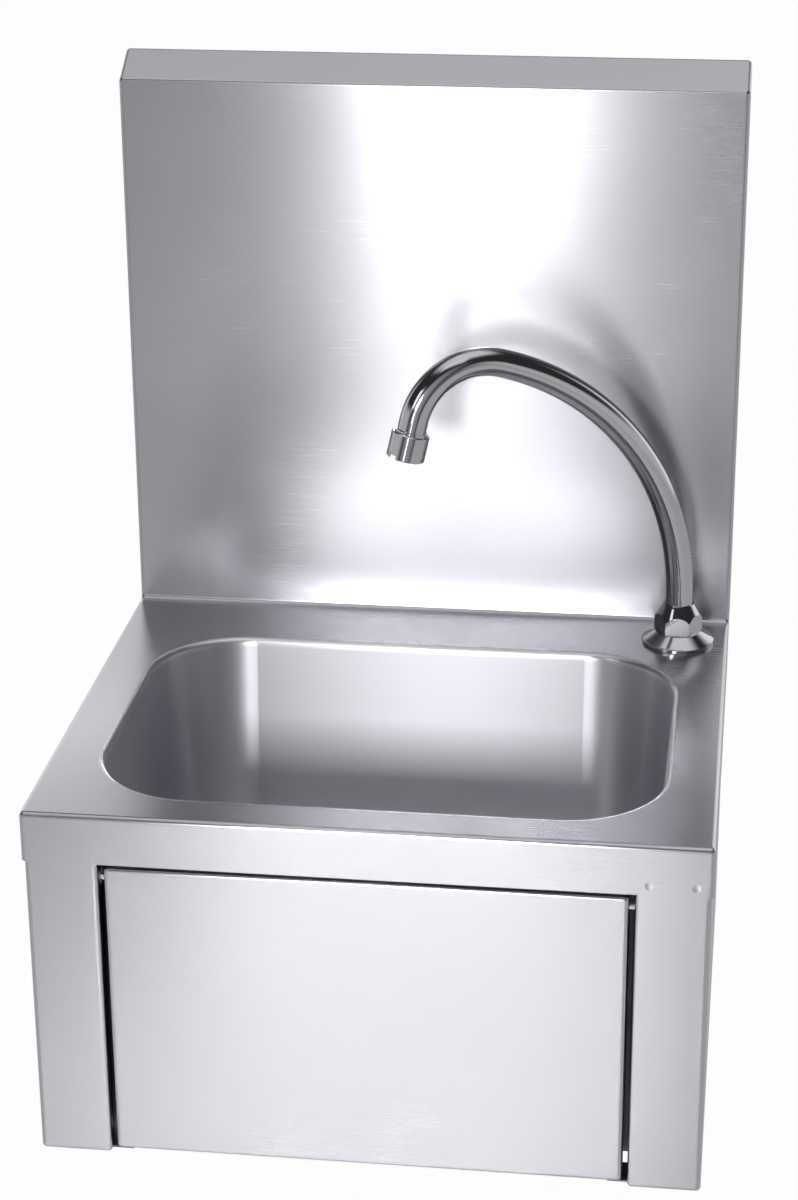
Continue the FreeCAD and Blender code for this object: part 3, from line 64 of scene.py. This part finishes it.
# ---------------------------------------------------------------- shader maths
class Value:
    """A shader socket that adds Math nodes when it is used in an expression."""

    def __init__(self, finish, socket):
        self.finish, self.socket = finish, socket

    def _math(self, operation, first, second=None, clamp=False):
        sockets = {0: first} if second is None else {0: first, 1: second}
        return self.finish.node("ShaderNodeMath", {"operation": operation, "use_clamp": clamp},
                                sockets)

    def __add__(self, other):
        return self._math("ADD", self, other)

    __radd__ = __add__

    def __sub__(self, other):
        return self._math("SUBTRACT", self, other)

    def __rsub__(self, other):
        return self._math("SUBTRACT", other, self)

    def __mul__(self, other):
        return self._math("MULTIPLY", self, other)

    __rmul__ = __mul__

    def __truediv__(self, other):
        return self._math("DIVIDE", self, other)

    def __gt__(self, other):
        return self._math("GREATER_THAN", self, other)

    def __lt__(self, other):
        return self._math("LESS_THAN", self, other)

    def __abs__(self):
        return self._math("ABSOLUTE", self)

    def clamp(self):
        return self._math("ADD", self, 0.0, True)

    def highest(self, other):
        return self._math("MAXIMUM", self, other)

    def root(self):
        return self._math("SQRT", self.highest(0.0))

    def step(self, low, high):
        """0 below low, 1 above high, smooth between."""
        return self.finish.node("ShaderNodeMapRange", {"interpolation_type": "SMOOTHSTEP"},
                                {"Value": self, "From Min": low, "From Max": high})

    def swing(self, amount):
        """A pattern of 0 to 1 as a swing about zero, amount from its lowest to its highest."""
        return (self - 0.5) * amount


class Tree:
    """A shader tree that is built with one node-making method."""

    def __init__(self, owner, output):
        owner.use_nodes = True
        self.tree = owner.node_tree
        self.tree.nodes.clear()
        self.output = self.tree.nodes.new(output)

    def node(self, kind, settings=None, sockets=None, out=0):
        made = self.tree.nodes.new(kind)
        for key, setting in (settings or {}).items():
            setattr(made, key, setting)
        for key, value in (sockets or {}).items():
            target = made.inputs[key]
            if isinstance(value, Value):
                self.tree.links.new(value.socket, target)
            elif isinstance(value, (tuple, list)) and len(value) == 3 and target.type == "RGBA":
                target.default_value = (*value, 1.0)
            else:
                target.default_value = value
        return Value(self, made.outputs[out])

    def others(self, value, *names):
        """More outputs of the node that made value."""
        return [Value(self, value.socket.node.outputs[name]) for name in names]

    def axes(self, vector):
        split = self.node("ShaderNodeSeparateXYZ", sockets={0: vector})
        return self.others(split, 0, 1, 2)

    def seen_rays(self):
        """1 for what the camera sees straight, and for what metal and glass mirror."""
        path = self.node("ShaderNodeLightPath")
        straight, glossy, through = self.others(path, "Is Camera Ray", "Is Glossy Ray",
                                                "Is Transmission Ray")
        return straight, (glossy + through).clamp()

    def mix(self, factor, first, second):
        made = self.node("ShaderNodeMix", {"data_type": "RGBA"}, {0: factor, 6: first, 7: second})
        return self.others(made, 2)[0]

    def show(self, shader):
        self.tree.links.new(shader.socket, self.output.inputs["Surface"])


class Finish(Tree):
    """One material of the sink, laid out in the sink's own metres."""

    def __init__(self, name):
        self.material = bpy.data.materials.new(name)
        super().__init__(self.material, "ShaderNodeOutputMaterial")
        self.place = self.node("ShaderNodeTexCoord", out="Object")

    def noise(self, scale, detail=2.0, roughness=0.5, at=None):
        return self.node("ShaderNodeTexNoise", {},
                         {"Vector": at or self.place, "Scale": scale, "Detail": detail,
                          "Roughness": roughness})

    def drawn_noise(self, scales, detail, roughness):
        """Noise with its own scale along each axis."""
        stretched = self.node("ShaderNodeVectorMath", {"operation": "MULTIPLY"},
                              {0: self.place, 1: scales})
        return self.noise(1.0, detail, roughness, stretched)

    def bump(self, height, strength, distance, normal=None):
        sockets = {"Height": height, "Strength": strength, "Distance": distance}
        if normal:
            sockets["Normal"] = normal
        return self.node("ShaderNodeBump", {}, sockets)

    def surface(self, **sockets):
        """The shader, with its sockets named in small letters."""
        self.show(self.node("ShaderNodeBsdfPrincipled", {},
                            {key.replace("_", " ").title(): value
                             for key, value in sockets.items()}))
        return self.material


# ---------------------------------------------------------------- finishes
SHEET_TONE = (0.64, 0.637, 0.675)
SHEET_ROUGHNESS = 0.26
SHEET_TINT = 0.34         # how strongly the brushing, and the clouds, tint the sheet
SHEET_WAVE = 0.0006       # how far a flat sheet of the sink strays from a plane
SHEET_BOW = 0.0085        # how far the splashback leans out towards its fold with the deck
BOW_TOP = -0.12           # above this the splashback is straight
DISH_SHARE = 0.30         # share of the bow that a shallow dish in its lower part has
DISH_X = 0.03
DISH_HALF = 0.16
DISH_TOP = (-0.26, -0.14)  # the dish fades out between these heights
PAINTED_INSIDE_SHADE = 0.40       # painted shade: the unlit inside of the posts is painted darker, and it is rougher
INSIDE_ROUGHER = 0.25
BRUSHING = 0.86           # horizontal brushing spreads a light upwards and downwards
ACROSS = 0.25             # a quarter turn, so that it spreads across the streaks
BRUSH_LINES = 2400.0      # scale of the noise across the streaks
BRUSH_REACH = 26.0        # and along them
BRUSH_HEIGHT = 0.0001
BRUSH_BUMP = 0.015
BOWL_LEAN = 0.17          # slope that the drawn bowl walls have beyond a plain draft
BOWL_ROUGHNESS = 0.46
BOWL_BUMP = 0.04
# painted highlight: the polished rim is coloured near white so that it shows as a bright line
RIM_HIGHLIGHT_TONE = (0.95, 0.95, 0.96)
RIM_ROUGHNESS = 0.32
RIM_INNER = (-0.0012, 0.0002)   # the rim's edges, measured outward from the bowl's mouth
RIM_OUTER = (0.0024, 0.0034)
RIM_DEPTH = (DECK_Z - 0.006, DECK_Z - 0.003)
CHROME_TONE = (0.64, 0.64, 0.655)
CHROME_ROUGHNESS = 0.11
FINE_HEIGHT = 0.0003
MOULD_HEIGHT = 0.0004


def shade(colour, amount):
    return tuple(min(1.0, c * amount) for c in colour)


def shades(tone, darker, lighter):
    return shade(tone, darker), shade(tone, lighter)


def grain(finish):
    """Brushing: long fine streaks along the sheet, turned on its side faces."""
    facing = finish.axes(finish.node("ShaderNodeNewGeometry", out="True Normal"))
    side = abs(facing[0]).step(0.6, 0.8)
    along_x = finish.drawn_noise((BRUSH_REACH, BRUSH_LINES, BRUSH_LINES), 3.0, 0.6)
    along_y = finish.drawn_noise((BRUSH_LINES, BRUSH_REACH, BRUSH_LINES), 3.0, 0.6)
    return along_x * (1.0 - side) + along_y * side


def brushed_sheet(name, tone=SHEET_TONE, roughness=SHEET_ROUGHNESS, streak=1.0):
    """Folded sheet with horizontal brushing; streak is how strong the brushing shows."""
    finish = Finish(name)
    streaks = grain(finish)
    clouds = finish.noise(7.0, 3.0, 0.55)
    waves = finish.noise(5.0, 1.0, 0.4)
    x, y, z = finish.axes(finish.place)
    tint = streaks.swing(SHEET_TINT * streak) + clouds.swing(SHEET_TINT) + 0.5
    # painted shade: inside the posts, behind the front and below the apron, the sheet's colour is
    # darkened
    inside = ((y > FRONT_Y + FRONT_EDGE) * (y < POST_INSIDE_Y)
              * (abs(x) < SIDE_X - SIDE_EDGE) * (z < DECK_Z - APRON))
    colour = finish.mix(tint.clamp(), *shades(tone, 0.88, 1.12))
    colour = finish.mix(inside, colour, shade(tone, PAINTED_INSIDE_SHADE))
    rough = streaks.swing(0.05) + clouds.swing(0.06) + roughness + inside * INSIDE_ROUGHER
    lean = ((BOW_TOP - z) / (BOW_TOP - DECK_Z)).clamp()
    dish = abs(x - DISH_X).step(0.0, DISH_HALF) * (1.0 - z.step(*DISH_TOP))
    bow = finish.bump(lean * lean + dish * DISH_SHARE, 1.0, SHEET_BOW)
    flatness = finish.bump(waves, 1.0, SHEET_WAVE, bow)
    lines = finish.bump(streaks, BRUSH_BUMP * streak, BRUSH_HEIGHT, flatness)
    return finish.surface(base_color=colour, metallic=1.0, roughness=rough, normal=lines,
                          anisotropic=BRUSHING, anisotropic_rotation=ACROSS)


def bowl_steel(name):
    """Satin pressed steel inside, painted lighter than the same sheet steel as painted light;
    polished on the rolled rim, whose near-white colour is a painted highlight; brushed on the
    flush flange.
    """
    finish = Finish(name)
    x, y, z = finish.axes(finish.place)
    dx = (abs(x - BOWL_CENTRE[0]) - (BOWL_HALF[0] - BOWL_CORNER)).highest(0.0)
    dy = (abs(y - BOWL_CENTRE[1]) - (BOWL_HALF[1] - BOWL_CORNER)).highest(0.0)
    outward = (dx * dx + dy * dy).root() - BOWL_CORNER
    flange = outward.step(*RIM_OUTER)
    rim = outward.step(*RIM_INNER) * (1.0 - flange) * z.step(*RIM_DEPTH)
    streaks = grain(finish)
    satin = finish.noise(900.0, 3.0, 0.6)
    draw = finish.drawn_noise((60.0, 60.0, 14.0), 2.0, 0.5)
    clouds = finish.noise(9.0, 3.0, 0.5)
    tint = satin.swing(0.16) + draw.swing(0.10) + clouds.swing(0.10) + 0.5
    # painted light: the bowl's inside is the sheet's steel painted 1.12 to 1.32 times lighter
    painted_light_inner = finish.mix(tint.clamp(), *shades(SHEET_TONE, 1.12, 1.32))
    sheet = finish.mix(streaks, *shades(SHEET_TONE, 0.90, 1.10))
    colour = finish.mix(flange, painted_light_inner, sheet)
    # painted highlight along the rolled rim
    colour = finish.mix(rim, colour, RIM_HIGHLIGHT_TONE)
    rough = ((BOWL_ROUGHNESS + satin.swing(0.08)) * (1.0 - flange)
             + (SHEET_ROUGHNESS + streaks.swing(0.03)) * flange)
    rough = rough * (1.0 - rim) + rim * RIM_ROUGHNESS
    height = (satin * 0.6 + draw * 0.4) * (1.0 - flange) + streaks * flange
    lean = finish.bump(DECK_Z - z, 1.0, BOWL_LEAN)
    lines = finish.bump(height * (1.0 - rim * 0.9), BOWL_BUMP, BRUSH_HEIGHT, lean)
    return finish.surface(base_color=colour, metallic=1.0, roughness=rough, normal=lines,
                          anisotropic=BRUSHING, anisotropic_rotation=ACROSS)


def chrome(name):
    """Mirror plating with a faint cloud in it."""
    finish = Finish(name)
    clouds = finish.noise(40.0, 3.0, 0.5)
    specks = finish.noise(1400.0, 2.0, 0.5)
    return finish.surface(base_color=finish.mix(clouds, *shades(CHROME_TONE, 0.96, 1.03)),
                          metallic=1.0,
                          roughness=specks.swing(0.03) + clouds.swing(0.02) + CHROME_ROUGHNESS,
                          normal=finish.bump(clouds, 0.02, FINE_HEIGHT))


def turned_metal(name, tone, roughness, worn=0.25):
    """Machined metal with faint tool rings and handling marks."""
    finish = Finish(name)
    rings = finish.drawn_noise((700.0, 700.0, 700.0), 2.0, 0.5)
    clouds = finish.noise(55.0, 4.0, 0.6)
    tint = (rings.swing(0.4) + clouds.swing(0.6) + 0.5).clamp()
    return finish.surface(base_color=finish.mix(tint, *shades(tone, 1.0 - worn, 1.0 + worn * 0.6)),
                          metallic=1.0,
                          roughness=clouds.swing(0.22) + rings.swing(0.08) + roughness,
                          normal=finish.bump(rings, 0.05, FINE_HEIGHT))


def moulded(name, tone, roughness, texture=900.0, bump=0.08):
    """Moulded plastic or rubber with a fine mould texture."""
    finish = Finish(name)
    fine = finish.noise(texture, 3.0, 0.6)
    broad = finish.noise(24.0, 3.0, 0.5)
    tint = (fine * 0.35 + broad * 0.65).clamp()
    return finish.surface(base_color=finish.mix(tint, *shades(tone, 0.90, 1.10)), metallic=0.0,
                          roughness=fine.swing(0.16) + broad.swing(0.08) + roughness,
                          normal=finish.bump(fine, bump, MOULD_HEIGHT))


FINISHES = {
    "brushed_sheet": brushed_sheet("brushed sheet"),
    "bowl_steel": bowl_steel("satin bowl"),
    "inner_steel": brushed_sheet("mill sheet", (0.50, 0.50, 0.52), roughness=0.38, streak=0.7),
    "polished_steel": turned_metal("bright steel", (0.68, 0.68, 0.70), roughness=0.18, worn=0.10),
    "chrome": chrome("chrome plate"),
    "brass": turned_metal("machined brass", (0.70, 0.52, 0.27), roughness=0.28),
    "spring_steel": turned_metal("spring wire", (0.42, 0.42, 0.44), roughness=0.30),
    "rubber": moulded("black rubber", (0.032, 0.032, 0.035), roughness=0.62),
    "nylon": moulded("natural nylon", (0.78, 0.76, 0.70), roughness=0.45, texture=700.0,
                     bump=0.05),
    "trap_plastic": moulded("white trap plastic", (0.80, 0.80, 0.78), roughness=0.36,
                            texture=500.0, bump=0.04),
    "knob_plastic": moulded("black knob plastic", (0.045, 0.045, 0.050), roughness=0.42,
                            texture=1100.0, bump=0.10),
    "insert_plastic": moulded("grey jet plastic", (0.26, 0.27, 0.29), roughness=0.45),
}
slots = {part["node"]: part["material_slot"] for part in frame["record"]["subparts"]}
for name, piece in nodes.items():
    piece.data.materials.clear()
    piece.data.materials.append(FINISHES[slots[name]])

# The return spring gets its own copy of the mesh and rides with the casing, keeping its seat on
# the inlet cap.
spring = bpy.data.objects.new("coiled_return_spring", nodes["return_spring"].data.copy())
bpy.context.scene.collection.objects.link(spring)
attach(spring, "casing")
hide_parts("return_spring")
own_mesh(spring)


# ---------------------------------------------------------------- floor, light and camera
WHITE = (1.0, 1.0, 1.0)
FLOOR_Z = -0.70
PAPER_TONE = (0.80, 0.80, 0.80)
PAPER_SIDE = 6.0          # the floor is a sheet of white paper
PAPER_FRONT = -1.60
PAPER_BACK = 8.0
FLOOR_WHITE = 0.98        # share of the paper that shows as plain white
FLOOR_GLOW = 0.30         # the same share in what the metal mirrors

# What the metal mirrors of the room: tones, and the bands of direction in which each one fades
# into the next. A direction has length 1, x to the right, y to the wall and z up.
ROOM_TONE = (0.32, 0.32, 0.33)
ROOM_SIDE = (0.03, 0.03, 0.032)
CEILING = (0.78, 0.78, 0.79)
FLANK = (0.55, 0.55, 0.56)
BACKDROP_Y = (0.15, 0.55)
BACKDROP_TOP = (0.35, 0.70)
WALLS_X = (0.25, 0.60)
WALLS_TOP = (0.30, 0.55)
FLANK_X = (0.50, 0.80)
FLANK_TOP = (0.12, 0.30)
CEILING_Z = (0.78, 0.96)

SINK_MIDDLE = (0, -0.2, -0.3)
LAMPS = (  # name, place, aim, size, brightness (1 looks white), spread in degrees
    ("front light", (-0.14, -1.60, 0.09), SINK_MIDDLE, (0.19, 0.22), 32.0, 180.0),
    ("low light", (-0.14, -1.60, -0.36), (0, 0, -0.1), (0.19, 0.50), 1.6, 180.0),
    ("paper light", (-0.06, -1.05, 0.50), (-0.06, -1.05, -0.7), (0.08, 0.90), 17.0, 29.0),
    ("left light", (-0.90, -1.40, 0.50), SINK_MIDDLE, (0.40, 0.60), 1.5, 180.0),
    ("high light", (0.1, -1.1, 1.5), SINK_MIDDLE, (1.0, 0.5), 0.5, 180.0),
)
CAMERA_PLACE = (0.20921, -1.76436, 0.41974)
CAMERA_TURN = (67.834, 0.361, 7.438)   # degrees
CAMERA_LENS = 83.93       # millimetres
CAMERA_FRAME = 36.0
CAMERA_REACH = 50.0       # metres


def put(name, data):
    """A new object in the scene."""
    thing = bpy.data.objects.new(name, data)
    bpy.context.scene.collection.objects.link(thing)
    return thing


def studio_floor():
    """White paper that keeps the sink's shadow."""
    finish = Finish("studio floor")
    straight, mirrored = finish.seen_rays()
    paper = finish.node("ShaderNodeBsdfDiffuse", {}, {"Color": PAPER_TONE})
    white = finish.node("ShaderNodeEmission", {}, {"Color": WHITE, "Strength": 1.0})
    finish.show(finish.node("ShaderNodeMixShader", {},
                            {0: straight * FLOOR_WHITE + mirrored * FLOOR_GLOW, 1: paper,
                             2: white}))
    mesh = bpy.data.meshes.new("floor")
    mesh.from_pydata([(-PAPER_SIDE, PAPER_FRONT, FLOOR_Z), (PAPER_SIDE, PAPER_FRONT, FLOOR_Z),
                      (PAPER_SIDE, PAPER_BACK, FLOOR_Z), (-PAPER_SIDE, PAPER_BACK, FLOOR_Z)],
                     [], [(0, 1, 2, 3)])
    mesh.materials.append(finish.material)
    floor = put("floor", mesh)


def softbox(name, place, aim, size, brightness, spread):
    """Area lamp of an even brightness, whatever its size."""
    lamp = bpy.data.lights.new(name, "AREA")
    lamp.shape = "RECTANGLE"
    lamp.size, lamp.size_y = size
    lamp.energy = brightness * math.pi * size[0] * size[1]
    lamp.spread = math.radians(spread)
    holder = put(name, lamp)
    holder.location = place
    holder.rotation_euler = (Vector(aim) - Vector(place)).to_track_quat("-Z", "Y").to_euler()


def studio_air():
    """White behind the sink; for the metal, a grey room in front of it, darker to both sides."""
    world = bpy.data.worlds.new("studio")
    bpy.context.scene.world = world
    air = Tree(world, "ShaderNodeOutputWorld")
    x, y, z = air.axes(air.node("ShaderNodeTexCoord", out="Generated"))
    straight, mirrored = air.seen_rays()
    backdrop = y.step(*BACKDROP_Y) * (1.0 - z.step(*BACKDROP_TOP))
    walls = air.mix(abs(x).step(*WALLS_X).highest(z.step(*WALLS_TOP)), ROOM_TONE, ROOM_SIDE)
    walls = air.mix(abs(x).step(*FLANK_X) * (1.0 - z.step(*FLANK_TOP)), walls, FLANK)
    room = air.mix(z.step(*CEILING_Z), walls, CEILING)
    ahead = air.node("ShaderNodeBackground", {}, {"Color": room})
    white = air.node("ShaderNodeBackground", {}, {"Color": WHITE})
    air.show(air.node("ShaderNodeMixShader", {},
                      {0: (straight + mirrored * backdrop).clamp(), 1: ahead, 2: white}))


def camera():
    data = bpy.data.cameras.new("camera")
    data.lens = CAMERA_LENS
    data.sensor_width = CAMERA_FRAME
    data.clip_end = CAMERA_REACH
    holder = put("camera", data)
    holder.location = CAMERA_PLACE
    holder.rotation_euler = [math.radians(a) for a in CAMERA_TURN]
    bpy.context.scene.camera = holder


bpy.context.scene.view_settings.view_transform = "Standard"
studio_air()
studio_floor()
for lamp in LAMPS:
    softbox(*lamp)
camera()
